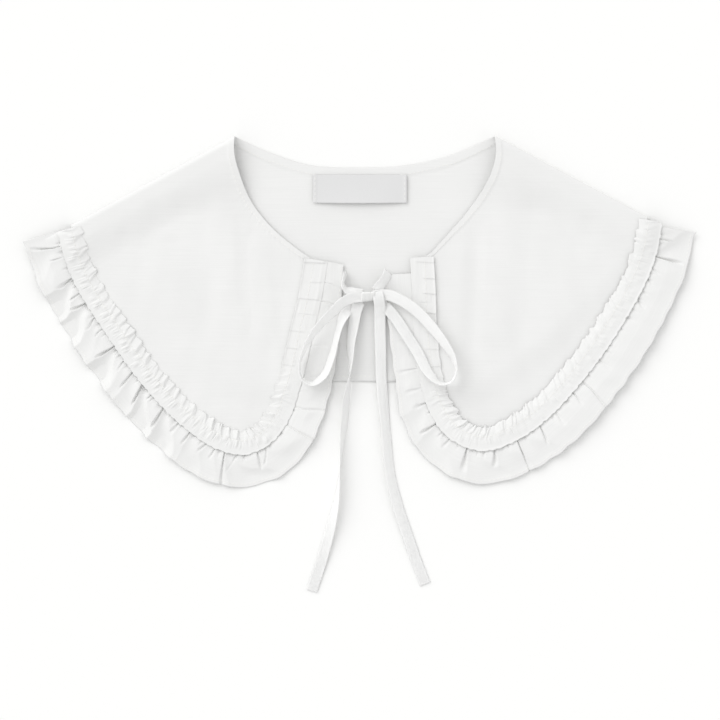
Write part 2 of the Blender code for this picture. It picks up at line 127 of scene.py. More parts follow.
# The front's edge, from the shoulder tip round to the neck: across and up of the seam, the
# frill's width there and its pleats' height
FRONT_EDGE = {
    "left": (
        (187.5, 90.3, 32.5, 4.5), (179.8, 64, 31, 5), (156, 24, 31, 5.4),
        (132.5, -8.5, 31, 5.4), (108.5, -33, 31, 5.2), (88, -46.5, 31, 5),
        (75.5, -49.2, 31, 4.8), (65, -45, 31, 4.4), (54.8, -33, 29.5, 4),
        (47.5, -13, 29, 3.2), (38.8, 22.5, 26, 2.6), (33.5, 45, 22.5, 2.4),
        (29.6, 68.5, 20, 2.2),
    ),
    "right": (
        (187.5, 95.5, 32.5, 4.5), (183.4, 73, 31, 5), (162.5, 30.5, 31.5, 5.6),
        (133.8, -9, 32, 5.6), (117, -27, 32, 5.4), (99.8, -39.7, 31.5, 5.2),
        (78.5, -46.6, 31, 4.8), (64, -40.5, 29.5, 4.4), (53, -25, 27.5, 4),
        (48, -8, 25, 3.2), (44.2, 22.5, 25, 2.6), (43.2, 48.8, 27, 2.4),
        (42, 70, 26.5, 2.2),
    ),
}
WIDTH, RISE = 2, 3  # its columns for those two

# Tucks of the frill: across and up where one starts beside the strip and where it ends towards
# the hem, its width at each of those ends, and its depth as a share of the frill's height
TUCK_COLUMNS = ("across_a", "up_a", "across_b", "up_b", "width_a", "width_b", "depth")
TUCKS = {
    "left": (
        (199, 76, 211, 75, 1.6, 4, 0.65), (199, 68, 202, 67.4, 1.8, 3, 0.35),
        (188, 56, 193, 51, 2.4, 4, 0.95), (183, 46, 189, 41, 2, 3, 0.5),
        (179, 40, 186, 36, 2.6, 4.5, 1), (173, 30, 175, 25, 2, 3, 0.5),
        (169, 22, 171, 19, 2, 3, 0.35), (160, 12, 169, 6, 2.6, 4, 0.95),
        (157, 8, 161, 5, 1.6, 2.4, 0.5), (154, 2, 156, -2, 2, 3, 0.45),
        (146, -3, 155, -14, 2, 3.2, 0.7), (141, -12, 148, -26, 2.4, 4.5, 1),
        (135, -19, 139, -23, 2, 3, 0.5), (127, -27, 135, -40, 2.6, 4, 0.9),
        (123, -33, 125, -36, 1.8, 2.6, 0.4), (117, -37, 124, -45, 3, 5, 0.5),
        (110, -43, 115, -50, 2, 3.4, 0.65), (99, -50, 104, -55, 2, 3, 0.6),
        (94, -54, 98, -61, 2, 3, 0.6), (88, -57, 90, -76, 1.8, 3.2, 0.9),
        (80, -58, 87, -70, 2.6, 3.6, 0.7), (67, -56, 63, -70, 1.8, 3.6, 0.75),
        (61, -55, 62, -66, 1.8, 3, 0.6), (41, -43, 30, -49, 2.4, 3, 0.4),
        (37, -29, 20, -30, 2.4, 4, 0.4), (33, -8, 22, -8, 4, 6, 0.25),
        (30, 12, 20, 13, 4, 6, 0.3), (27, 42, 13, 38, 1.6, 2.6, 0.55),
        (24, 54, 13, 50, 1.6, 2.6, 0.5),
    ),
    "right": (
        (198, 81, 206, 79, 2, 3, 0.4), (192, 70, 208, 66, 2, 3.6, 0.9),
        (189, 63, 193, 60, 2.2, 2.6, 0.4), (186, 56, 189, 53, 2.2, 2.6, 0.35),
        (181, 49, 186, 46, 2.4, 3, 0.35), (178, 44, 183, 39, 3.4, 4.6, 0.5),
        (172, 32, 176, 30, 2.4, 3.4, 0.35), (157, 2, 161, -1, 3, 4, 0.25),
        (150, -16, 158, -25, 2.4, 3.4, 0.35), (140, -20, 143, -24, 2.2, 3, 0.35),
        (128, -32, 132, -37, 3, 4, 0.25), (117, -40, 122, -51, 2, 3, 0.5),
        (102, -49, 111, -70, 1.8, 3, 0.75), (87, -55, 87.5, -66, 2, 4, 0.8),
        (76, -56, 76, -60, 2, 3, 0.4), (69, -55, 67, -68, 2, 4.4, 0.85),
        (59, -47, 54, -53, 2, 3, 0.5), (54, -43, 50, -47, 2, 3, 0.5),
        (49, -38, 40, -44, 2.2, 3.4, 0.85), (41, -25, 38, -27, 2.4, 3.4, 0.7),
        (35, -16, 30, -18, 4, 5, 0.35), (33, -3, 26, -5, 3, 4, 0.45),
        (32, 16, 26, 15, 4, 5, 0.3), (30, 38, 24, 38, 3, 4, 0.3),
    ),
}

# How a tuck begins, runs on and fades, as parts of the frill's width, and how it leans and opens.
# A pair gives a value beside the strip and one at the far end.
TUCK_BEGINS_BEFORE = 0.3
TUCK_FADE_IN = 0.2
TUCK_FADE_OUT = 0.35
TUCK_FADED_AT_END = 0.45
TUCK_CUTS_HEM_FROM = 0.88
TUCK_LEAST_RUN = 0.05
TUCK_RUNS_ON = 1.2
TUCK_NARROW = 0.62
TUCK_STEEP = (0.34, 0.8)
TUCK_CREST = 2.0
TUCK_OVERHANG = 0.5
TUCK_OVERHANG_FADES = 0.6
TUCK_LEANS_FROM = 0.3
TUCK_HEM_PULL = 0.9
TUCK_SOFT_WIDTHS = (3.0, 9.5)
TUCK_SOFT_TAIL = 1.5
TUCK_SOFT_START = 0.45
TUCK_SOFT_SHARE = {"left": 1.35, "right": 0.9}

# Broad waves between the tucks, small gathers beside the strip, and the turned hem
WAVE_PITCH = 14.5
WAVE_DEPTH = 0.16
WAVE_WANDER = 1.8
WAVE_SIZES = (0.4, 1.0)
WAVE_FULL_PART = 0.7
WAVE_HEM_PULL = 0.8
GATHER_PITCH = 8.2
GATHER_DEPTH = 1.3
GATHER_SIZES = (0.2, 1.0)
GATHER_SHARP = 8
GATHERS_RISE = (2.4, 1.6)
GATHERS_END = (0.26, 0.22)
STRIP_COVERS = (0.3, 0.08)
HEM_TURN = 2.6
HEM_TURN_LIFT = 0.1
HEM_STITCHES = 2.1
FRILL_FLOOR = 0.1
FRILL_PRESSED = 0.35
FRILL_CUT_WIDTH = 32.0

# Beside the front opening the pleats are lower than this, and pressed
OPENING_RISE = 3.2
OPENING_RISE_RUN = 0.6
OPENING_PRESSED = 0.55

# Gathered strip. Its heading stands up in petals along the outer curve, and is pressed flat where
# the strip runs up to the neck. The tables give, at distances from the shoulder tip: the pitch
# of the petals, their height, and how flat the strip is pressed, from 0 to 1.
GATHER_COLUMNS = ("distance", "pitch", "height", "flat")
GATHERS = {
    "left": (
        (0, 9, 0.6, 0), (25, 9.4, 1.1, 0), (90, 10.2, 1.4, 0), (140, 9, 1.5, 0),
        (166, 6.6, 1.5, 0), (202, 6.2, 1.7, 0), (230, 7.6, 1.5, 0.3), (256, 11, 0.8, 1),
        (318, 11.5, 0.6, 1),
    ),
    "right": (
        (0, 9, 0.6, 0), (40, 9.5, 0.8, 0), (120, 9, 1, 0), (160, 7, 1.1, 0),
        (205, 6, 1.3, 0), (228, 6.4, 1.5, 0.1), (248, 9, 0.9, 0.7), (270, 10.8, 0.6, 1),
        (330, 10.8, 0.6, 1),
    ),
}
STRIP_INNER = -6.2
STRIP_OUTER = 9.2
STRIP_ON_FRILL = {"left": 0.43, "right": 0.7}
STRIP_SEWN_DOWN = 0.1
SEWN_DOWN_ALONG = (198.0, 25.0)
SEWN_DOWN_ACROSS = (5.6, 3.0)
FLAP_LEVEL = (6.0, 3.2)
EDGE_CURL = 0.5
EDGE_CURL_WIDTH = 0.9
SEWN_PINCH = 0.55
SEWN_PINCH_WIDTH = 0.9
STRIP_CUT_STRETCH = 1.5
STRIP_HEM_SAW = 0.45
SAW_GROWS = (5.0, 4.0)

# How high the strip's body lies above the front, at distances outside its gathering line, where
# the frill's pleats are of the usual height
USUAL_RISE = 5.2
BODY_OFFSETS = (-6.2, -3.0, 0.0, 4.0, 9.2)
BODY_HEIGHTS = {"left": (0.25, 1.35, 2.15, 2.5, 2.7), "right": (1.5, 2.6, 3.1, 3.3, 3.3)}
FLAT_EDGE_HEIGHT = 1.15

# Pleats pressed flat in the strip beside the front opening: how far up each one lies, its height,
# and the distances outside the gathering line where it starts and ends
PLEAT_COLUMNS = ("up", "height", "inner", "outer")
PLEATS = {
    "left": (
        (65.3, 0.75, -6.2, 9.2), (53.4, 0.4, 1, 9.2), (41.8, 0.65, -5, 8),
        (32.4, 0.35, -3, 6), (20.6, 0.4, -6.2, 2), (9.6, 0.45, -6.2, 1),
        (-1.4, 0.55, -6.2, 0),
    ),
    "right": (
        (65.6, 0.5, -6.2, 4), (55.1, 0.75, -6.2, -0.6), (45.2, 0.8, -6.2, 0.4),
        (39.8, 0.4, -2.6, 3), (32.8, 0.9, -6.2, -0.8), (20.4, 0.5, -6.2, 0),
        (9, 0.5, -6.2, 1), (-2.2, 0.8, -5, 0),
    ),
}
PLEAT_RUN = 10.5
PLEAT_EDGE = 0.7
PLEAT_SLANT = 0.12

# Petals of the heading, in two layers: how many times closer a layer's petals are, and their
# share of the height. A pair gives the ends between which petals differ.
PETAL_LAYERS = ((1.0, 1.0), (1.6, 0.75))
PETAL_PITCHES = (0.6, 1.4)
PETAL_SIZES = (-0.03, 1.47)
PETAL_SIZE_LIMITS = (0.15, 1.15)
PETAL_TIPS = (-11.0, -6.2)
PETAL_ROOTS = (0.8, 4.4)
PETAL_CRESTS = (0.58, 0.82)
PETAL_LEAN = 0.45
PETAL_LEANS = (-0.2, 2.2)
PETAL_REACH = 2.6
PETALS_END = (-0.5, 4.0)
HEADING_OPENS = (2.6, 3.4)

# Small sharp creases across the strip
FACET_PITCH = 4.3
FACET_HEIGHT = {"left": 1.05, "right": 0.6}
FACET_SIZES = (0.1, 1.1)
FACET_MIDDLES = (-2.6, 7.0)
FACET_LENGTHS = (2.76, 6.44)
FACET_CRESTS = (0.3, 0.6)

# Soft folds of the fronts as ridges, and creases as ridges or troughs, from one place to
# another: across and up of both ends, half width and height
RIDGE_COLUMNS = ("across_a", "up_a", "across_b", "up_b", "half_width", "height")
RIDGES = {
    "left": (
        (86, 100, 82, 30, 17, 1.5), (66, 76, 62, 20, 13, 1), (128, 62, 112, 12, 20, 1.2),
    ),
    "right": (
        (96, 104, 90, 24, 18, 1.6), (66, 70, 64, 18, 12, 1), (138, 66, 120, 14, 20, 1.3),
    ),
}
# The cloth bridges the hollows between its soft folds, so it shows this share of their height
SOFTENED = 0.5
CREASES = {
    "left": (
        (152, 84, 144, 76, 8, -0.35), (136, 104, 126, 94, 10, -0.4),
        (78, 94, 75, 40, 6, -0.25), (104, 84, 98, 20, 12, -0.2),
        (60, 58, 52, -6, 6, 0.15),
    ),
    "right": (
        (150, 92, 142, 74, 10, -0.3), (76, 88, 71, -8, 9, -0.45), (112, 96, 104, 30, 12, -0.2),
        (64, 2, 60, -20, 8, -0.3),
    ),
}

# Neck edges: a narrow faced edge with one row of stitches, and the back's hem with another
NECK_FACING = {"front": 4.6, "back": 6.5}
NECK_FACING_LIFT = 0.32
NECK_PUCKER = 0.1
NECK_PUCKER_WIDTH = 2.5
STITCHES_INSIDE = 0.9
BACK_HEM_TURN = 6.0
BACK_HEM_STITCHES = 4.3

# How the cloth is drawn up a little along the seam, and how it swells between there and the neck
SEAM_PUCKER = 0.16
SEAM_PUCKER_PITCH = 3.7
SEAM_PUCKER_REACH = 9.0
SEAM_PUCKER_INSIDE = 8.0
SETTLED = (4.0, 12.0)
SWELLS = {"front": 0.14, "back": 0.12}
FLAT_BESIDE_NECK = {"front": 15.0, "back": 20.0}

# The label's folded ends, its ripple, and how far it sinks into the cloth under it
LABEL_END_FOLD = 2.2
LABEL_END_LIFT = 0.22
LABEL_RIPPLE = 0.1
LABEL_SINKS = 0.15

# Ribbons of the bow: x, up, lift above what they lie on, and bank in degrees, which is positive
# where the edge on the right of the way along the ribbon is the higher one
RIBBONS = {
    "tie_left": (
        (-9.2, 60.4, 0.1, 74), (-10, 56.6, 0.1, 78), (-10.6, 52.8, 0.5, 76),
        (-9.2, 49.6, 1.6, 60), (-5.2, 47.2, 3.1, 28), (1.8, 45.4, 3.7, 0),
    ),
    "tie_right": (
        (18.8, 60.2, 0.2, 26), (17.8, 58.4, 0.8, 34), (16.2, 55.6, 1.8, 40), (14.2, 52.6, 2.8, 36),
        (12.2, 50, 3.5, 16), (10.8, 48, 3.7, 0),
    ),
    "loop_left": (
        (2.2, 44.3, 5, 0), (-3, 43.9, 5.2, 10), (-8.6, 41.8, 5.6, 26),
        (-18, 33.6, 5.2, 38), (-28.2, 22.6, 4.8, 56), (-35.8, 9.8, 4.4, 72),
        (-38.8, -1, 4.2, 82), (-37, -9, 4.2, 80), (-31, -12.2, 4.2, 68),
        (-24, -7.8, 4, 54), (-18.6, 3.3, 3.3, 54), (-15.2, 16, 2.9, 60),
        (-12.4, 26, 2.6, 54), (-10.6, 31, 2.5, 32), (-7.4, 35.8, 1.2, 8),
        (-3.4, 38.4, 0.7, 0), (0.4, 39.2, 0.6, 0),
    ),
    "loop_right": (
        (9, 44.6, 4.8, 0), (13.4, 45.2, 4.8, 0), (18.5, 45.2, 5, -6),
        (26.3, 42.2, 5.2, -10), (36.1, 35.6, 5.2, -14), (45.9, 25.6, 5, -22),
        (54.6, 14.4, 4.8, -42), (60.8, 4, 4.8, -66), (62.4, -4.2, 4.6, -82),
        (59.4, -10.8, 4.6, -84), (52.8, -12.2, 4.6, -76), (45.4, -6, 4, -40),
        (38, 7.5, 3, -10), (29.6, 20.8, 2.8, -6), (23.4, 30.2, 2.9, 0),
        (16.8, 37.4, 2.9, 0), (12.8, 39.8, 1.8, 0), (10.4, 40.6, 1.2, 0),
    ),
    "tail_left": (
        (0, 41.2, 2.2, 0), (-1.4, 37.4, 2.3, 0), (-2.5, 33.6, 2.3, 0),
        (-3.3, 29.4, 1.8, -10), (-4.2, 24, 1.2, -22), (-5.5, 15, 0.6, -40),
        (-5.7, 4.6, 0.2, -62), (-6.1, -4.6, 0, -86), (-8.1, -19.5, 0, -122),
        (-9.8, -35.8, 0, -126), (-11.4, -52, 0, -110), (-12.7, -68.3, 0, -90),
        (-14.8, -87.8, 0, -62), (-19.2, -107.3, 0, -26), (-25, -128, 0, -6),
        (-31.2, -146.9, 0, 0),
    ),
    "tail_right": (
        (11, 48.6, 3.4, 0), (11.7, 46.8, 5.4, 0), (12.2, 44.4, 6.4, 0), (12.7, 41.2, 6.1, 0),
        (13.1, 38, 4.6, 0), (13.2, 34.4, 3.2, 0), (13.2, 29, 1.9, 0), (13.3, 21, 1.1, 0),
        (13.6, 12, 0.6, 3), (13.8, 4, 0.3, 8), (14.1, -6.5, 0, 14), (15.9, -29.3, 0, 26),
        (17.6, -48.8, 0, 32), (20, -71.5, 0, 28), (24.6, -91, 0, 16), (31.5, -111.8, 0, 6),
        (38, -130.7, 0, 0), (42.6, -142.4, 0, 0),
    ),
}
RIBBON_STEP = 0.8
RIBBON_CELLS = 16
RIBBON_CUP = 0.3
RIBBON_EDGE_FOLD = 1.4
RIBBON_EDGE_LIFT = 0.16
RIBBON_RIPPLE = 0.12

# The knot's grid, its flattening and twist, and its creases: where along it, width and depth
KNOT_RINGS = 33
KNOT_AROUND = 48
KNOT_FLATTENED = 0.8
KNOT_TWIST = 0.25
KNOT_CREASES = ((0.34, 0.09, 0.07), (-0.42, 0.1, 0.05))

# Sewing thread, drawn twice its real thickness so that a stitch shows close up
THREAD_RADIUS = 0.17
STITCH_LENGTH = 2.1
STITCH_GAP = 0.7
STITCH_AROUND = 6
STITCH_DIP = 1.5

# A stitch's fullness at shares of its length
STITCH_SHAPE = ((0.0, 0.35), (0.18, 0.9), (0.5, 1.0), (0.82, 0.9), (1.0, 0.35))

# A wave texture repeats after this share of its scale
WAVE_REPEAT = 0.314

# Light from the upper left, and the camera straight above the collar
SKY_STRENGTH = 0.885
SUN_STRENGTH = 1.08
SUN_WIDTH = 46.0
SUN_FROM = (-0.72, 0.69, 0.72)
TABLE_HALF_SIZE = 6.0
LENS = 120.0
SENSOR = 36.0
PICTURE_WIDTH = 468.0
PICTURE_MIDDLE = (0.3, 3.25)


def smooth(t):
    """An even step from 0 to 1, level at both ends."""
    t = np.clip(t, 0.0, 1.0)
    return t * t * (3 - 2 * t)


def blend(a, b, t):
    return a + (b - a) * t


def uneven(t):
    """A value from -1 to 1 that wanders and never repeats evenly."""
    return (np.sin(t) + np.sin(1.618 * t + 1.3) + np.sin(2.414 * t + 0.7)) / 3


def rises(value, zone):
    """0 up to a zone's start and 1 past its end, from the zone's start and length."""
    return smooth((value - zone[0]) / zone[1])


def varied(ends, t):
    """A value that wanders between two ends."""
    return blend(*ends, 0.5 + 0.5 * uneven(t))


def lengths_along(points):
    """The length along a line of points, up to each of them."""
    steps = np.linalg.norm(np.diff(points, axis=0), axis=1)
    return np.concatenate([[0.0], np.cumsum(steps)])


def turned_edge(inside, width, soft=0.8):
    """1 where a turned edge doubles the cloth, 0 farther in, with a soft step between."""
    return 1 - smooth((inside - width) / soft + 0.5)


class Line:
    """A smooth line through a table's places, read by its length in plan."""

    def __init__(self, rows):
        self.points = np.array(rows, float)
        self.knots = lengths_along(self.points[:, :2])
        self.slopes = np.gradient(self.points, self.knots, axis=0)
        self.length = float(self.knots[-1])

    def at(self, distance):
        """All of the table's columns at the distances."""
        distance = np.clip(distance, 0.0, self.length)
        last = len(self.knots) - 2
        k = np.minimum(np.searchsorted(self.knots, distance, side="right") - 1, last)
        span = (self.knots[k + 1] - self.knots[k])[..., None]
        t = (distance - self.knots[k])[..., None] / span
        ease_in = t * (1 - t) ** 2 * span
        ease_out = t * t * (t - 1) * span
        start = (1 + 2 * t) * (1 - t) ** 2
        end = t * t * (3 - 2 * t)
        return (start * self.points[k] + end * self.points[k + 1]
                + ease_in * self.slopes[k] + ease_out * self.slopes[k + 1])

    def outward(self, distance):
        """The unit normal that points out of the garment."""
        reach = 0.2
        step = self.at(distance + reach)[..., :2] - self.at(distance - reach)[..., :2]
        along = step / np.linalg.norm(step, axis=-1, keepdims=True)
        return np.stack([-along[..., 1], along[..., 0]], axis=-1)

    def nearest(self, place):
        distances = np.linspace(0.0, self.length, 1600)
        gaps = self.at(distances)[:, :2] - np.array(place)
        return float(distances[np.argmin(np.linalg.norm(gaps, axis=1))])


def hem_line(across):
    """The back's outer edge: its height up the garment and its slope."""
    past = np.maximum(np.abs(across) - HEM_HALF_WIDTH, 0.0)
    tip_across, tip_up = SHOULDER["left"][1]
    width = tip_across - HEM_HALF_WIDTH
    rise = tip_up - HEM_UP
    up = HEM_UP + rise * (past / width) ** HEM_SWEEP
    slope = rise * HEM_SWEEP / width * (past / width) ** (HEM_SWEEP - 1)
    return up, slope


def level(across, up):
    """How far the back lifts a cloth that lies there: full over the back, nothing beyond it."""
    edge, slope = hem_line(across)
    beyond = (edge - up) / np.hypot(1.0, slope)
    return ON_BACK * (1 - smooth((beyond - 2 * GAP) / HEM_STEP_WIDTH))


def shoulder_frame(side, across, up):
    """Where a place lies by the shoulder fold: 0 to 1 along it, and its distance inside it."""
    neck, tip = (np.array(end) for end in SHOULDER[side])
    length = np.linalg.norm(tip - neck)
    along = (tip - neck) / length
    past, above = across - neck[0], up - neck[1]
    part = (past * along[0] + above * along[1]) / length
    return part, past * along[1] - above * along[0]


def roll_half_height(part):
    return blend(ROLL_HALF_HEIGHT_TIP, ROLL_HALF_HEIGHT_NECK, (1 - np.clip(part, 0.0, 1.0)) ** 2)


def roll_turn(inside):
    """The quarter turn of the roll, from 0 on the fold to 1 where it lies level."""
    t = 1 - np.clip(inside / ROLL_DEPTH, 0.0, 1.0)
    return np.sqrt(1 - t * t)


def fold_height(rows, across, up, together):
    """The height of soft folds at a place, joined by the given rule."""
    height = np.zeros_like(across)
    for row in rows:
        fold = dict(zip(RIDGE_COLUMNS, row))
        a = np.array((fold["across_a"], fold["up_a"]))
        run = np.array((fold["across_b"], fold["up_b"])) - a
        t = ((across - a[0]) * run[0] + (up - a[1]) * run[1]) / np.dot(run, run)
        t = np.clip(t, 0.0, 1.0)
        off = np.hypot(across - a[0] - run[0] * t, up - a[1] - run[1] * t)
        height = together(height, fold["height"] * smooth(1 - off / fold["half_width"]))
    return height


def front_height(side, across, up):
    """The middle of a front's wall above the table, also read just beyond its edge."""
    part, inside = shoulder_frame(side, across, up)
    lift = level(across, up)
    half = roll_half_height(part)
    fade = 1 - smooth((part - 1) / ROLL_FADE_PAST_TIP)
    reach = blend(ROLL_REACH_NECK, ROLL_REACH_TIP, smooth(part / 0.5))
    roll = half * (1 + roll_turn(inside))
    stays = 1 - smooth((inside - ROLL_CROWN) / (reach - ROLL_CROWN))
    rolled = np.where(roll * fade > lift, blend(lift, roll * fade, stays), lift)
    ridges = fold_height(RIDGES[side], across, up, np.maximum)
    return HALF_WALL + rolled + SOFTENED * ridges * (1 - stays)


def back_height(side, across, up):
    """The middle of the back's wall: on the table, and up into the shoulder roll."""
    part, inside = shoulder_frame(side, across, up)
    return HALF_WALL + roll_half_height(part) * (1 - roll_turn(inside))


def hexed(code):
    """An sRGB hex value as a linear colour."""
    channels = [int(code[k:k + 2], 16) / 255 for k in (1, 3, 5)]
    linear = [c / 12.92 if c <= 0.04045 else ((c + 0.055) / 1.055) ** 2.4 for c in channels]
    return (*linear, 1.0)


def add(tree, kind, inputs=None, **settings):
    """Adds a node: inputs gives each socket a value, or the output that feeds it."""
    node = tree.nodes.new(kind)
    for name, value in settings.items():
        setattr(node, name, value)
    for socket, value in (inputs or {}).items():
        if isinstance(value, bpy.types.NodeSocket):
            tree.links.new(value, node.inputs[socket])
        else:
            node.inputs[socket].default_value = value
    return node


def new_material(name, finish):
    """A material, its nodes and its shader, whose sockets take the finish's values."""
    material = bpy.data.materials.new(name)
    material.use_nodes = True
    shader = material.node_tree.nodes["Principled BSDF"]
    for socket, value in finish.items():
        shader.inputs[socket].default_value = value
    return material, material.node_tree, shader


def woven_cotton(name, light, shade, thread, weave, crumple, roughness, through):
    """Plain-woven bleached cotton: matt, with a fine even grain of crossing threads, a few
    thicker threads, and the faint unevenness of a washed and pressed cloth.

    thread is the drawn spacing of the threads, weave and crumple are depths, and through is
    how much light comes through the thin cloth.
    """
    material, tree, shader = new_material(name, {
        "Roughness": roughness, "Sheen Weight": 0.12, "Sheen Roughness": 0.5,
        "Specular IOR Level": 0.2, "Subsurface Weight": through,
        "Subsurface Radius": (1.0, 1.0, 1.0), "Subsurface Scale": 1.2 * MM})
    cut = add(tree, "ShaderNodeUVMap", uv_map="cut").outputs["UV"]
    warp, weft = [
        add(tree, "ShaderNodeTexWave", {
            "Vector": cut, "Scale": WAVE_REPEAT / spacing, "Distortion": 1.2, "Detail": 1.0,
            "Detail Scale": 0.4}, bands_direction=direction)
        for direction, spacing in (("X", thread), ("Y", thread * 1.1))]
    threads = add(tree, "ShaderNodeMath", {
        0: warp.outputs["Fac"], 1: weft.outputs["Fac"]}, operation="ADD")
    grain = add(tree, "ShaderNodeBump", {
        "Strength": 0.6, "Distance": weave * MM, "Height": threads.outputs[0]})
    place = add(tree, "ShaderNodeTexCoord").outputs["Object"]
    soft = add(tree, "ShaderNodeTexNoise", {
        "Vector": place, "Scale": 90.0, "Detail": 3.0, "Roughness": 0.45, "Distortion": 0.5})
    pressed = add(tree, "ShaderNodeBump", {
        "Strength": 0.5, "Distance": crumple * MM, "Height": soft.outputs["Fac"],
        "Normal": grain.outputs["Normal"]})
    tree.links.new(pressed.outputs["Normal"], shader.inputs["Normal"])
    slubs = add(tree, "ShaderNodeMapping", {"Vector": cut, "Scale": (0.03, 1.4, 1.0)})
    streaks = add(tree, "ShaderNodeTexNoise", {
        "Vector": slubs.outputs["Vector"], "Scale": 1.0, "Detail": 2.0})
    washed = add(tree, "ShaderNodeTexNoise", {"Vector": place, "Scale": 22.0, "Detail": 2.0})
    tone = add(tree, "ShaderNodeMath", {
        0: streaks.outputs["Fac"], 1: washed.outputs["Fac"]}, operation="MULTIPLY")
    ramp = add(tree, "ShaderNodeValToRGB", {"Fac": tone.outputs[0]})
    for stop, position, colour in zip(ramp.color_ramp.elements, (0.12, 0.42), (shade, light)):
        stop.position = position
        stop.color = hexed(colour)
    tree.links.new(ramp.outputs["Color"], shader.inputs["Base Color"])
    return material


def woven_satin(name, light, shade):
    """Polyester satin of a woven label: smooth, pale grey, with fine slanting twill lines and a
    soft gloss along them."""
    material, tree, shader = new_material(name, {
        "Roughness": 0.42, "Sheen Weight": 0.1, "Specular IOR Level": 0.45})
    cut = add(tree, "ShaderNodeUVMap", uv_map="cut").outputs["UV"]
    slant = add(tree, "ShaderNodeMapping", {
        "Vector": cut, "Rotation": (0.0, 0.0, math.radians(28.0))})
    lines = add(tree, "ShaderNodeTexWave", {
        "Vector": slant.outputs["Vector"], "Scale": WAVE_REPEAT / 0.6, "Distortion": 0.3})
    ramp = add(tree, "ShaderNodeValToRGB", {"Fac": lines.outputs["Fac"]})
    ramp.color_ramp.elements[0].color = hexed(shade)
    ramp.color_ramp.elements[1].color = hexed(light)
    tree.links.new(ramp.outputs["Color"], shader.inputs["Base Color"])
    bump = add(tree, "ShaderNodeBump", {
        "Strength": 0.4, "Distance": 0.04 * MM, "Height": lines.outputs["Fac"]})
    tree.links.new(bump.outputs["Normal"], shader.inputs["Normal"])
    return material


def twisted_thread(name, tone):
    """Cotton sewing thread: white and matt, with the slight sheen of twisted fibres."""
    material, tree, shader = new_material(name, {
        "Roughness": 0.7, "Base Color": hexed(tone), "Sheen Weight": 0.2})
    place = add(tree, "ShaderNodeTexCoord").outputs["Object"]
    twist = add(tree, "ShaderNodeTexWave", {
        "Vector": place, "Scale": WAVE_REPEAT / (0.5 * MM), "Distortion": 0.5},
        bands_direction="DIAGONAL")
    bump = add(tree, "ShaderNodeBump", {
        "Strength": 0.5, "Distance": 0.05 * MM, "Height": twist.outputs["Fac"]})
    tree.links.new(bump.outputs["Normal"], shader.inputs["Normal"])
    return material


def painted_table(name, tone):
    """A studio table painted matt white, faintly uneven like rolled paint."""
    material, tree, shader = new_material(name, {
        "Roughness": 0.9, "Base Color": hexed(tone), "Specular IOR Level": 0.1})
    place = add(tree, "ShaderNodeTexCoord").outputs["Object"]
    roller = add(tree, "ShaderNodeTexNoise", {"Vector": place, "Scale": 400.0, "Detail": 2.0})
    bump = add(tree, "ShaderNodeBump", {
        "Strength": 0.1, "Distance": 0.05 * MM, "Height": roller.outputs["Fac"]})
    tree.links.new(bump.outputs["Normal"], shader.inputs["Normal"])
    return material


def piece_from(name, vertices, faces, material):
    mesh = bpy.data.meshes.new(name)
    mesh.from_pydata(vertices, [], faces)
    mesh.materials.append(material)
    mesh.shade_smooth()
    piece = bpy.data.objects.new(name, mesh)
    bpy.context.scene.collection.objects.link(piece)
    return piece


def cloth(name, places, cut, thickness, material, node):
    """A thin cloth through a grid of places. cut is where each place is on the flat cloth."""
    rows, columns = places.shape[:2]
    vertices = places.reshape(-1, 3) * MM + PART_SHIFT
    index = np.arange(rows * columns).reshape(rows, columns)
    corners = (index[:-1, :-1], index[:-1, 1:], index[1:, 1:], index[1:, :-1])
    faces = np.stack([corner.ravel() for corner in corners], axis=1)
    across = places[:-1, 1:] - places[:-1, :-1]
    down = places[1:, :-1] - places[:-1, :-1]
    if np.cross(across, down)[..., 2].sum() < 0:
        faces = faces[:, ::-1]
    piece = piece_from(name, vertices.tolist(), faces.tolist(), material)
    layer = piece.data.uv_layers.new(name="cut")
    layer.data.foreach_set("uv", cut.reshape(-1, 2)[faces.ravel()].ravel())
    wall = piece.modifiers.new("wall", "SOLIDIFY")
    wall.thickness = thickness * MM
    wall.offset = 0.0
    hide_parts(node)
    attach(piece, "root")
    return piece


def row_at(places, away, distance):
    """The line of a cloth's places that lie about this far away from its edge."""
    row = np.argmin(np.abs(away - distance), axis=0)
    return places[row, np.arange(places.shape[1])]


def tube_faces(first, rings, around):
    """The faces of a tube through rings of vertices, closed by a cap at each end."""
    faces = []
    for ring in range(rings - 1):
        low, high = first + ring * around, first + (ring + 1) * around
        for a in range(around):
            b = (a + 1) % around
            faces.append((low + a, low + b, high + b, high + a))
    last = first + (rings - 1) * around
    faces.append(tuple(first + a for a in reversed(range(around))))
    faces.append(tuple(last + a for a in range(around)))
    return faces


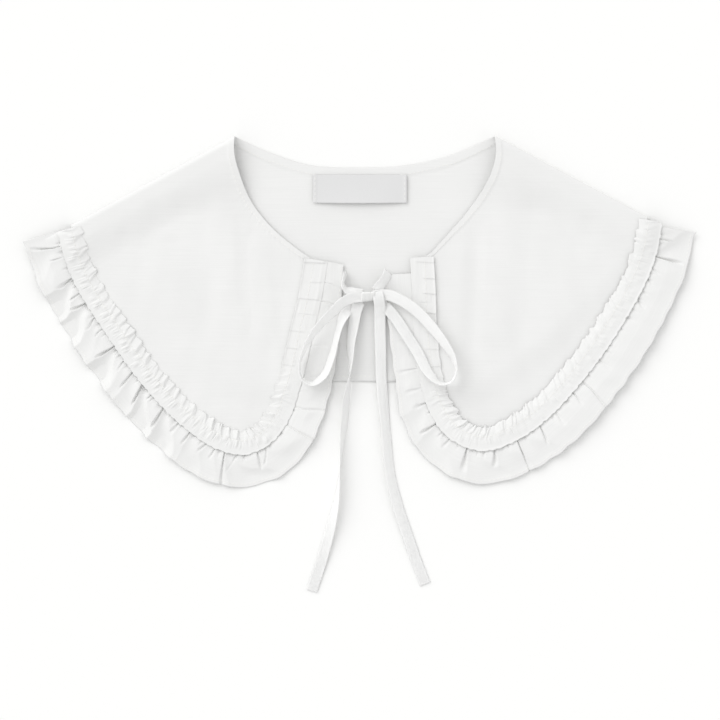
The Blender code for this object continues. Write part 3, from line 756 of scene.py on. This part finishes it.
def stitches(name, line, material, above):
    """A row of running stitches along a line of places, each lying on the cloth."""
    lengths = lengths_along(line)
    count = int((lengths[-1] - STITCH_GAP) / (STITCH_LENGTH + STITCH_GAP))
    pitch = (lengths[-1] - STITCH_GAP) / count
    vertices, faces = [], []
    for k in range(count):
        faces += tube_faces(len(vertices), len(STITCH_SHAPE), STITCH_AROUND)
        reach = np.array([share for share, _ in STITCH_SHAPE]) * (pitch - STITCH_GAP)
        reach = reach + (STITCH_GAP + k * pitch)
        run = np.stack([np.interp(reach, lengths, line[:, c]) for c in range(3)], axis=1)
        way = Vector(run[-1] - run[0]).normalized()
        right = way.cross(Vector((0.0, 0.0, 1.0))).normalized()
        upward = right.cross(way)
        for point, (_, full) in zip(run, STITCH_SHAPE):
            middle = Vector(point) + upward * (above - THREAD_RADIUS * STITCH_DIP * (1 - full))
            for a in range(STITCH_AROUND):
                turn = 2 * math.pi * a / STITCH_AROUND
                ring = right * math.cos(turn) + upward * math.sin(turn)
                place = middle + ring * THREAD_RADIUS * full
                vertices.append([c * MM + s for c, s in zip(place, PART_SHIFT)])
    piece = piece_from(name, vertices, faces, material)
    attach(piece, "root")
    return piece


def fold_stations():
    """Distances inside a shoulder fold, close together round its turn."""
    turn = np.radians(np.linspace(0.0, 90.0, 8))
    return ROLL_DEPTH * (1 - np.cos(turn))


def build_back(material, thread):
    """The back, from its faced neck edge to its hem, with the lower half of each shoulder."""
    neck = Line(BACK_NECK)
    left_tip = (-SHOULDER["left"][1][0], SHOULDER["left"][1][1])
    right_tip = SHOULDER["right"][1]
    xs = np.linspace(left_tip[0], right_tip[0], HEM_POINTS + 1)[1:-1]
    hem = Line([left_tip] + list(zip(xs, hem_line(xs)[0])) + [right_tip])
    fold = fold_stations()
    rows, columns, crowding = BACK_GRID

    def stations(line):
        even = np.linspace(ROLL_DEPTH, line.length - ROLL_DEPTH, columns)[1:-1]
        return np.concatenate([fold, even, (line.length - fold)[::-1]])

    top = neck.at(stations(neck))
    bottom = hem.at(stations(hem))
    plan = blend(top, bottom, np.linspace(0.0, 1.0, rows)[:, None, None] ** crowding)
    x, up = plan[..., 0], plan[..., 1]
    heights = [back_height(side, x * SIDES[side], up) for side in SIDES]
    from_neck = np.linalg.norm(plan - top, axis=-1)
    from_hem = np.linalg.norm(plan - bottom, axis=-1)
    facing = NECK_FACING["back"]
    height = np.maximum(*heights) - THINNER
    height = height + NECK_FACING_LIFT * turned_edge(from_neck, facing)
    height = height + HEM_TURN_LIFT * turned_edge(from_hem, BACK_HEM_TURN)
    swells = SWELLS["back"] * (1 + uneven(0.09 * x + 0.05 * up))
    height = height + swells * smooth(from_neck / FLAT_BESIDE_NECK["back"])
    places = np.stack([x, up, height], axis=-1)
    piece = cloth("back_cloth", places, plan, POPLIN, material, "back")
    sewn = []
    for name, away, row in (("neck", from_neck, facing - STITCHES_INSIDE),
                            ("hem", from_hem, BACK_HEM_STITCHES)):
        line = row_at(places, away, row)[10:-10]
        sewn.append(stitches(f"back_{name}_stitches", line, thread, POPLIN / 2))
    return piece, sewn


def build_front(side, material, thread):
    """A front, from its neck edge to the seam of the frill, with the upper half of the fold."""
    neck = Line(FRONT_NECK[side])
    edge = Line(FRONT_EDGE[side])
    slope = np.arange(ROLL_DEPTH + ROLL_SLOPE_STEP, ROLL_SLOPE_END, ROLL_SLOPE_STEP)
    first = np.concatenate([fold_stations(), slope])
    rows, columns, crowding = FRONT_GRID

    def stations(line):
        return np.concatenate([first, np.linspace(ROLL_SLOPE_END, line.length, columns)])

    at_neck, at_edge = stations(neck), stations(edge)
    top = neck.at(at_neck)
    bottom = edge.at(at_edge)[:, :2] - edge.outward(at_edge) * SEAM_HALF_GAP
    plan = blend(top, bottom, np.linspace(0.0, 1.0, rows)[:, None, None] ** crowding)
    across, up = plan[..., 0], plan[..., 1]
    part, inside = shoulder_frame(side, across, up)
    height = front_height(side, across, up)
    height[:, 0] = HALF_WALL + roll_half_height(part[:, 0])
    settled = rises(inside, SETTLED)
    height = height + fold_height(CREASES[side], across, up, np.add) * settled
    from_neck = np.linalg.norm(plan - top, axis=-1)
    from_seam = np.linalg.norm(plan - bottom, axis=-1)
    facing = NECK_FACING["front"]
    height = height + NECK_FACING_LIFT * turned_edge(from_neck, facing)
    beside_row = np.exp(-((from_neck - facing) / NECK_PUCKER_WIDTH) ** 2)
    height = height + NECK_PUCKER * uneven(at_neck * 1.6) * beside_row
    drawn = np.sin(2 * math.pi * at_edge / SEAM_PUCKER_PITCH + 2 * uneven(at_edge * 0.11))
    drawn = SEAM_PUCKER * drawn * np.exp(-from_seam / SEAM_PUCKER_REACH)
    height = height + drawn * smooth(inside / SEAM_PUCKER_INSIDE)
    swells = SWELLS["front"] * uneven(0.16 * across + 0.04 * up)
    height = height + swells * smooth(from_neck / FLAT_BESIDE_NECK["front"]) * settled
    places = np.stack([across * SIDES[side], up, height], axis=-1)
    piece = cloth(f"front_cloth_{side}", places, plan, POPLIN, material, "front_" + side)
    line = row_at(places, from_neck, facing - STITCHES_INSIDE)
    line = line[12:np.searchsorted(at_neck, neck.length - 4.0)]
    return piece, [stitches(f"neck_stitches_{side}", line, thread, POPLIN / 2)]


def tuck_ends(edge, tuck):
    """A tuck's two ends: the distance along the edge, and the part of the frill's width."""
    for end in ("a", "b"):
        place = np.array((tuck["across_" + end], tuck["up_" + end]))
        along = edge.nearest(place)
        foot = edge.at(np.array(along))
        yield along, np.linalg.norm(place - foot[:2]) / foot[WIDTH]


def tuck_hollow(side, edge, distance, part):
    """How deep the tucks are at each place, from 0 to 1, and how far their edge leans over.

    A tuck is a crisp fold beside the strip, which opens into a soft wave towards the hem.
    """
    hollow = np.zeros(np.broadcast_shapes(distance.shape, part.shape))
    lean = np.zeros_like(hollow)
    towards = 1 if side == "left" else -1
    for row in TUCKS[side]:
        tuck = dict(zip(TUCK_COLUMNS, row))
        (start, reach_a), (stop, reach_b) = tuck_ends(edge, tuck)
        run = max(reach_b - reach_a, TUCK_LEAST_RUN)
        t = np.clip((part - reach_a) / run, 0.0, TUCK_RUNS_ON)
        width = blend(tuck["width_a"], tuck["width_b"], t) * TUCK_NARROW
        off = (distance - blend(start, stop, t)) * towards
        steep = width * blend(*TUCK_STEEP, np.clip(t, 0.0, 1.0))
        crisp = np.where(off < 0, smooth(1 + off / steep), smooth(1 - off / width))
        begins = smooth((part - reach_a + TUCK_BEGINS_BEFORE) / TUCK_FADE_IN)
        fades = 1 - smooth((part - reach_b) / TUCK_FADE_OUT + TUCK_FADED_AT_END)
        ends_at = 1.0 if reach_b > TUCK_CUTS_HEM_FROM else fades
        opened = smooth((part - reach_a) / (FRILL_HEM_PART - reach_a))
        wide = blend(*TUCK_SOFT_WIDTHS, opened)
        fall = np.clip(off / wide, 0.0, 1.0)
        soft = (1 - (1 - fall) ** 2) * smooth(1 - (off / wide - 1) / TUCK_SOFT_TAIL)
        soft = TUCK_SOFT_SHARE[side] * blend(TUCK_SOFT_START, 1.0, opened) * soft
        depth = np.maximum(crisp * ends_at, soft * tuck["depth"]) * tuck["depth"] * begins
        hollow = np.maximum(hollow, np.minimum(depth, 1.0))
        crest = smooth(1 + (off + steep) / TUCK_CREST)
        crest = np.where(off < -steep, crest, smooth(-off / steep))
        pull = TUCK_OVERHANG * tuck["depth"] ** 2 * (1 - TUCK_OVERHANG_FADES * t)
        lean = np.maximum(lean, pull * crest * begins * ends_at)
    return hollow, lean * towards


def frill_rise(side, row, part):
    """The full height of the pleats at a part of the frill's width.

    Beside the front opening the frill is pressed, and its hem lies flatter.
    """
    opening = smooth((OPENING_RISE - row[..., RISE]) / OPENING_RISE_RUN)
    flatter = 1 - OPENING_PRESSED * smooth(part / FRILL_HEM_PART) * opening
    return row[..., RISE] * flatter * np.interp(part, FRILL_PARTS, FRILL_SHARES[side])


def build_frill(side, material, thread):
    """The frill outside a front's edge, with its tucks, waves, gathers and turned hem."""
    edge = Line(FRONT_EDGE[side])
    start = FRILL_START[side]
    stop = edge.length - FRILL_STOPS_SHORT[side]
    rows, columns, crowding = FRILL_GRID
    distance = np.linspace(start, stop, columns)[None, :]
    part = np.linspace(0.0, 1.0, rows)[:, None] ** crowding
    middle = edge.at(distance[0])[:, :2] + edge.outward(distance[0]) * FRILL_MIDDLE
    fanned = lengths_along(middle)[None, :]
    hollow, lean = tuck_hollow(side, edge, distance, part)
    wander = WAVE_WANDER * uneven(fanned * 0.045)
    wave = 0.5 - 0.5 * np.cos(2 * math.pi * fanned / WAVE_PITCH + wander)
    wave = wave * varied(WAVE_SIZES, fanned * 0.07 + 1.0)
    hill = (1 - WAVE_DEPTH * wave * smooth(part / WAVE_FULL_PART)) * (1 - hollow)
    moved = np.clip(distance + lean * smooth(part / TUCK_LEANS_FROM), start, stop)
    row = edge.at(moved)
    width = row[..., WIDTH] - TUCK_HEM_PULL * (1 - hill) - WAVE_HEM_PULL * wave
    reach = SEAM_HALF_GAP + part * width
    plan = row[..., :2] + edge.outward(moved) * reach[..., None]
    across, up = plan[..., 0], plan[..., 1]
    under_strip = (1 - rises(part, STRIP_COVERS)) * smooth(part / 0.1)
    raised = frill_rise(side, row, part) * hill - FRILL_PRESSED * under_strip
    phase = distance / GATHER_PITCH + 0.5 * uneven(distance * 0.21)
    gather = (0.5 + 0.5 * np.cos(2 * math.pi * phase)) ** GATHER_SHARP
    deep = GATHER_DEPTH * varied(GATHER_SIZES, distance * 0.37 + 2.0)
    deep = deep * rises(row[..., RISE], GATHERS_RISE)
    beside_strip = smooth(part / 0.15) * (1 - rises(part, GATHERS_END))
    raised = raised - deep * gather * beside_strip
    height = front_height(side, across, up) - THINNER + FRILL_FLOOR
    height = height + np.maximum(raised, 0.0)
    height = height + HEM_TURN_LIFT * turned_edge(width - reach, HEM_TURN, 0.7)
    places = np.stack([across * SIDES[side], up, height], axis=-1)
    cut = np.stack(np.broadcast_arrays(fanned, part * FRILL_CUT_WIDTH), axis=-1)
    piece = cloth(f"frill_cloth_{side}", places, cut, POPLIN, material, "frill_" + side)
    row_of_hem = int(np.argmin(np.abs(reach[:, 0] - (width[:, 0] - HEM_STITCHES))))
    line = places[row_of_hem, 4:-4]
    return piece, [stitches(f"hem_stitches_{side}", line, thread, POPLIN / 2)]


def gathers_at(side):
    """The columns of a side's table of gathers, by name."""
    return dict(zip(GATHER_COLUMNS, np.array(GATHERS[side], float).T))


def petals_before(side, distance):
    """How many petals of the heading lie before each distance."""
    gathers = gathers_at(side)
    fine = np.linspace(0.0, 400.0, 4000)
    pitch = np.interp(fine, gathers["distance"], gathers["pitch"])
    pitch = pitch * varied(PETAL_PITCHES, fine * 0.41 + (0.0 if side == "left" else 5.0))
    return np.interp(distance, fine, np.cumsum((fine[1] - fine[0]) / pitch))


def petal_heights(side, distance, offset):
    """The strip's heading as two layers of petals, each petal with its own size, from 0 to 1."""
    layers = []
    for layer, (closer, share) in enumerate(PETAL_LAYERS):
        leaning = PETAL_LEAN * (offset + 3.0) * varied(PETAL_LEANS, distance * 0.31 + 2.0 * layer)
        number = petals_before(side, distance - leaning) * closer + 0.4 * layer
        which = np.floor(number)
        phase = number - which
        own = np.clip(varied(PETAL_SIZES, which * 2.3 + 0.4 + layer), *PETAL_SIZE_LIMITS)
        tip = varied(PETAL_TIPS, which * 1.3 + 1.0 + layer)
        root = varied(PETAL_ROOTS, which * 3.1 + layer)
        leaf = np.sin(math.pi * np.clip((offset - tip) / (root - tip), 0.0, 1.0)) ** 0.7
        off = phase if side == "left" else 1 - phase
        crest = varied(PETAL_CRESTS, which * 4.1)
        wedge = np.where(off < crest, (off / crest) ** 1.3, smooth((1 - off) / (1 - crest)))
        layers.append(wedge * leaf * own * share)
    return np.maximum(*layers)


def flat_pleats(side, edge, distance, offset):
    """The height of the pleats pressed flat in the strip, from the table of where each lies."""
    height = np.zeros(np.broadcast_shapes(distance.shape, offset.shape))
    opening = distance[0, distance.shape[1] // 2 + 1:]
    up = edge.at(opening)[:, 1]
    for row in PLEATS[side]:
        pleat = dict(zip(PLEAT_COLUMNS, row))
        start = opening[np.argmin(np.abs(up - pleat["up"]))]
        past = distance - start - PLEAT_SLANT * (offset - pleat["inner"])
        rise = smooth(past / PLEAT_EDGE) * np.clip(1 - past / PLEAT_RUN, 0.0, 1.0)
        inside = smooth((offset - pleat["inner"] + 1.2) / 1.2)
        inside = inside * (1 - smooth((offset - pleat["outer"]) / 3.0))
        height = np.maximum(height, pleat["height"] * rise * inside)
    return height


def facets(distance, offset, seed):
    """Small sharp creases across the strip, each with its own place, length and height."""
    number = distance / FACET_PITCH + 0.35 * uneven(distance * 0.9 + seed) + 0.05 * offset
    which = np.floor(number)
    phase = number - which
    middle = varied(FACET_MIDDLES, which * 1.7 + seed)
    length = varied(FACET_LENGTHS, which * 0.9 + 2 * seed)
    along = smooth(1 - np.abs(offset - middle) / length)
    crest = varied(FACET_CRESTS, which * 2.9)
    across = np.where(phase < crest, phase / crest, (1 - phase) / (1 - crest))
    return across ** 1.4 * along * varied(FACET_SIZES, which * 3.3 + seed)


def build_strip(side, material, thread):
    """The gathered strip over the seam, with petals or flat pleats inside and a flap outside."""
    edge = Line(FRONT_EDGE[side])
    distance = np.linspace(STRIP_START, edge.length, STRIP_COLUMNS)[None, :]
    near = np.linspace(STRIP_INNER, -0.5, STRIP_INNER_ROWS)
    line = np.array([-0.25, 0.0, 0.25])
    far = np.linspace(0.7, STRIP_OUTER, STRIP_OUTER_ROWS)
    offset = np.concatenate([near, line, far])[:, None]
    gathers = gathers_at(side)
    tall = np.interp(distance, gathers["distance"], gathers["height"])
    flat = np.interp(distance, gathers["distance"], gathers["flat"])
    petal = petal_heights(side, distance, offset)
    small = facets(distance, offset, 0.0) + 0.7 * facets(distance * 1.37 + 3.0, offset, 4.0)
    small = small * FACET_HEIGHT[side] * (1 - 0.8 * flat)
    pinch = 1 - SEWN_PINCH * np.exp(-(offset / SEWN_PINCH_WIDTH) ** 2)
    curved = petal * tall * pinch * (1 - rises(offset, PETALS_END)) + small
    swell = blend(curved, flat_pleats(side, edge, distance, offset), flat)
    heading = rises(-offset, HEADING_OPENS) * (1 - flat)
    shown = np.clip(petal * 1.2, 0.0, 1.0)
    saw = STRIP_HEM_SAW * uneven(distance * 0.75) * rises(offset, SAW_GROWS) * (1 - flat)
    reach = offset - PETAL_REACH * (shown - 0.3) * heading + saw
    row = edge.at(distance)
    plan = row[..., :2] + edge.outward(distance) * reach[..., None]
    across, up = plan[..., 0], plan[..., 1]
    part = np.clip(reach / row[..., WIDTH], 0.0, 1.0)
    sewn_down = rises(distance, SEWN_DOWN_ALONG) * rises(offset, SEWN_DOWN_ACROSS)
    over = blend(STRIP_ON_FRILL[side], STRIP_SEWN_DOWN, sewn_down)
    under = np.where(reach > 0, frill_rise(side, row, part), 0.0) + over
    body = np.interp(offset, BODY_OFFSETS, BODY_HEIGHTS[side]) * row[..., RISE] / USUAL_RISE
    body = np.maximum(body, FLAT_EDGE_HEIGHT * flat)
    body = body + EDGE_CURL * flat * np.exp(-((offset - STRIP_INNER) / EDGE_CURL_WIDTH) ** 2)
    pressed = 1 - rises(offset, FLAP_LEVEL)
    height = front_height(side, across, up) - THINNER
    height = height + np.maximum(body, under) + swell * pressed
    places = np.stack([across * SIDES[side], up, height], axis=-1)
    cut = np.stack(np.broadcast_arrays(distance * STRIP_CUT_STRETCH, offset), axis=-1)
    piece = cloth(f"strip_cloth_{side}", places, cut, POPLIN, material, "strip_" + side)
    row_of_line = int(np.argmin(np.abs(offset[:, 0])))
    seam = places[row_of_line, 6:-6]
    return piece, [stitches(f"gathering_stitches_{side}", seam, thread, POPLIN / 2 + 0.1)]


def build_label(material, thread):
    """The bare label, sewn down at its two folded ends, its lower edge a little lifted."""
    i = np.linspace(0.0, 1.0, 90)[None, :]
    j = np.linspace(0.0, 1.0, 34)[:, None]
    bowed = np.sin(math.pi * i)
    x = LABEL_MIDDLE[0] + LABEL_SIZE[0] * (i - 0.5) + 0 * j
    up = LABEL_MIDDLE[1] + LABEL_SIZE[1] * (0.5 - j) - LABEL_BOW * bowed * j
    from_end = LABEL_SIZE[0] * np.minimum(i, 1 - i)
    ends = LABEL_END_LIFT * turned_edge(from_end, LABEL_END_FOLD, 0.6)
    ripple = LABEL_RIPPLE * uneven(i * 9.0 + 1.0) * np.sin(math.pi * j)
    height = HALF_WALL + ON_BACK - LABEL_SINKS + LABEL_LIFT * j ** 2 * bowed + ends + ripple
    places = np.stack([x, up, height], axis=-1)
    cut = np.stack([x, up], axis=-1)
    piece = cloth("label_satin", places, cut, SATIN, material, "label")
    sewn = []
    for name, column in (("left", 2), ("right", -3)):
        sewn.append(stitches(f"label_stitches_{name}", places[1:-1, column], thread, SATIN / 2))
    return piece, sewn


def build_ribbon(name, material):
    """A narrow flat tie with turned edges along its table's line, banked as the table says."""
    line = Line(RIBBONS[name])
    count = round(line.length / RIBBON_STEP)
    distance = np.linspace(0.0, line.length, count + 1)

    def middle(d):
        row = line.at(d)
        turn = np.radians(row[:, 3])
        stands = RIBBON_WIDTH / 2 * np.abs(np.sin(turn)) + HALF_WALL * np.abs(np.cos(turn))
        height = level(np.abs(row[:, 0]), row[:, 1]) + row[:, 2] + stands
        return np.stack([row[:, 0], row[:, 1], height], axis=1), turn[:, None]

    centre, turn = middle(distance)
    way = middle(distance + RIBBON_REACH)[0] - middle(distance - RIBBON_REACH)[0]
    way /= np.linalg.norm(way, axis=1, keepdims=True)
    right = np.cross(way, (0.0, 0.0, 1.0))
    right /= np.linalg.norm(right, axis=1, keepdims=True)
    upward = np.cross(right, way)
    across = right * np.cos(turn) + upward * np.sin(turn)
    normal = upward * np.cos(turn) - right * np.sin(turn)
    j = np.linspace(-0.5, 0.5, RIBBON_CELLS + 1)[:, None, None]
    from_edge = RIBBON_WIDTH * (0.5 - np.abs(j))
    cup = RIBBON_CUP * (0.25 - j ** 2) * 4 - RIBBON_CUP / 2
    folded = RIBBON_EDGE_LIFT * turned_edge(from_edge, RIBBON_EDGE_FOLD, 0.5)
    ripple = RIBBON_RIPPLE * uneven(distance * 0.4 + len(name))[:, None] * (1 - 4 * j ** 2)
    places = centre + across * RIBBON_WIDTH * j + normal * (cup + folded + ripple)
    cut = np.stack(np.broadcast_arrays(distance[None, :], RIBBON_WIDTH * j[..., 0]), axis=-1)
    return cloth(f"{name}_ribbon", places, cut, TAPE, material, name)


def build_knot(material):
    """The knot: a band of the tie wrapped tightly over the other ribbons, with two creases."""
    half = [size / 2 for size in KNOT_SIZE]
    s = np.linspace(-1.0, 1.0, KNOT_RINGS)[:, None]
    turn = np.linspace(0.0, 2 * math.pi, KNOT_AROUND + 1)[None, :-1]
    full = 0.74 + 0.26 * (1 - np.abs(s) ** 2.6) ** (1 / 2.6)
    full = full * np.where(np.abs(s) > 0.999, 0.8, 1.0)
    creases = [deep * np.exp(-((s - at) / wide) ** 2) for at, wide, deep in KNOT_CREASES]
    square = (np.abs(np.cos(turn)) ** 4 + np.abs(np.sin(turn)) ** 4) ** (-1 / 4)
    full = full * (1 - sum(creases)) * square
    y = half[1] * full * np.cos(turn)
    z = KNOT_FLATTENED * half[2] * full * np.sin(turn)
    z = z + (KNOT_TILT * y - KNOT_SLOPE * half[0] * s) * smooth(z / 1.5)
    x = half[0] * s + KNOT_TWIST * np.sin(2 * turn) * (1 - s ** 2)
    rings = np.stack([KNOT_MIDDLE[0] + x, KNOT_MIDDLE[1] + y, KNOT_MIDDLE[2] + z], axis=-1)
    vertices = (rings.reshape(-1, 3) * MM + PART_SHIFT).tolist()
    faces = tube_faces(0, KNOT_RINGS, KNOT_AROUND)
    piece = piece_from("knot_ribbon", vertices, faces, material)
    layer = piece.data.uv_layers.new(name="cut")
    for loop in piece.data.loops:
        ring, a = divmod(loop.vertex_index, KNOT_AROUND)
        layer.data[loop.index].uv = (a * 0.5, ring * KNOT_SIZE[0] / (KNOT_RINGS - 1))
    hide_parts("knot")
    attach(piece, "root")
    return piece


def build_table(material):
    """The plain pale table under the collar."""
    half = TABLE_HALF_SIZE
    corners = [(-half, -half, 0.0), (half, -half, 0.0), (half, half, 0.0), (-half, half, 0.0)]
    table = piece_from("studio_table", corners, [(0, 1, 2, 3)], material)
    table.location.z = -0.05 * MM
    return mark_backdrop(table)


def light_and_camera():
    """Soft light from the upper left, a pale studio round it, and the camera overhead."""
    scene = bpy.context.scene
    scene.view_settings.view_transform = "Standard"
    world = bpy.data.worlds.new("pale_studio")
    world.use_nodes = True
    sky = world.node_tree.nodes["Background"]
    sky.inputs["Color"].default_value = (1.0, 1.0, 1.0, 1.0)
    sky.inputs["Strength"].default_value = SKY_STRENGTH
    scene.world = world
    key = bpy.data.lights.new("window_light", "SUN")
    key.energy = SUN_STRENGTH
    key.angle = math.radians(SUN_WIDTH)
    lamp = bpy.data.objects.new("window_light", key)
    scene.collection.objects.link(lamp)
    lamp.rotation_euler = Vector(SUN_FROM).to_track_quat("Z", "Y").to_euler()
    lens = bpy.data.cameras.new("overhead")
    lens.lens = LENS
    lens.sensor_width = SENSOR
    lens.clip_end = 20.0
    camera = bpy.data.objects.new("overhead", lens)
    scene.collection.objects.link(camera)
    height = LENS / SENSOR * PICTURE_WIDTH
    camera.location = Vector((*PICTURE_MIDDLE, height)) * MM + Vector(PART_SHIFT)
    scene.camera = camera


def declare_sheets(pieces):
    """Reads the stitches of every cloth and the length of every ribbon, and keeps nothing of them.
    """
    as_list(pieces["sewn"]["back"])
    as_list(pieces["sewn"]["label"])
    for side in SIDES:
        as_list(pieces["sewn"]["front_" + side])
        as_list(pieces["sewn"]["frill_" + side])
        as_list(pieces["sewn"]["strip_" + side])
    for name, piece in pieces["ribbon"].items():
        length = Line(RIBBONS[name]).length * MM


def main():
    light_and_camera()
    poplin = woven_cotton(
        "bleached_cotton_poplin", light="#EBEBEA", shade="#E7E7E6", thread=0.62, weave=0.03,
        crumple=0.16, roughness=0.86, through=0.0)
    tape = woven_cotton(
        "cotton_tie", light="#F0F0EF", shade="#ECECEB", thread=0.55, weave=0.04,
        crumple=0.12, roughness=0.78, through=0.5)
    satin = woven_satin("label_satin_weave", "#E0E0E0", "#D6D6D6")
    thread = twisted_thread("cotton_sewing_thread", "#F3F2EE")
    build_table(painted_table("matt_white_table", "#F6F6F5"))
    cotton, sewn = {}, {}
    cotton["back"], sewn["back"] = build_back(poplin, thread)
    cotton["label"], sewn["label"] = build_label(satin, thread)
    for side in SIDES:
        for kind, build in (("front", build_front), ("frill", build_frill),
                            ("strip", build_strip)):
            name = f"{kind}_{side}"
            cotton[name], sewn[name] = build(side, poplin, thread)
    ribbons = {name: build_ribbon(name, tape) for name in RIBBONS}
    declare_sheets({"cotton": cotton, "sewn": sewn, "ribbon": ribbons, "knot": build_knot(tape)})


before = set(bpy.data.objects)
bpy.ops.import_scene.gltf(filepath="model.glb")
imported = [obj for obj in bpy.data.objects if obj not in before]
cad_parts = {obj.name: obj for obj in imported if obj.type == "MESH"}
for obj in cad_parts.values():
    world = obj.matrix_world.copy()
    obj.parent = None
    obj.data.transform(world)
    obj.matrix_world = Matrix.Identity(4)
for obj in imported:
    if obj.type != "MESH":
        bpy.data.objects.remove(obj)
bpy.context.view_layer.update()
label_low, label_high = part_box("label")
PART_SHIFT = (
    (label_low[0] + label_high[0]) / 2 - LABEL_MIDDLE[0] * MM,
    (label_low[1] + label_high[1]) / 2 - LABEL_MIDDLE[1] * MM,
    0.0,
)
main()
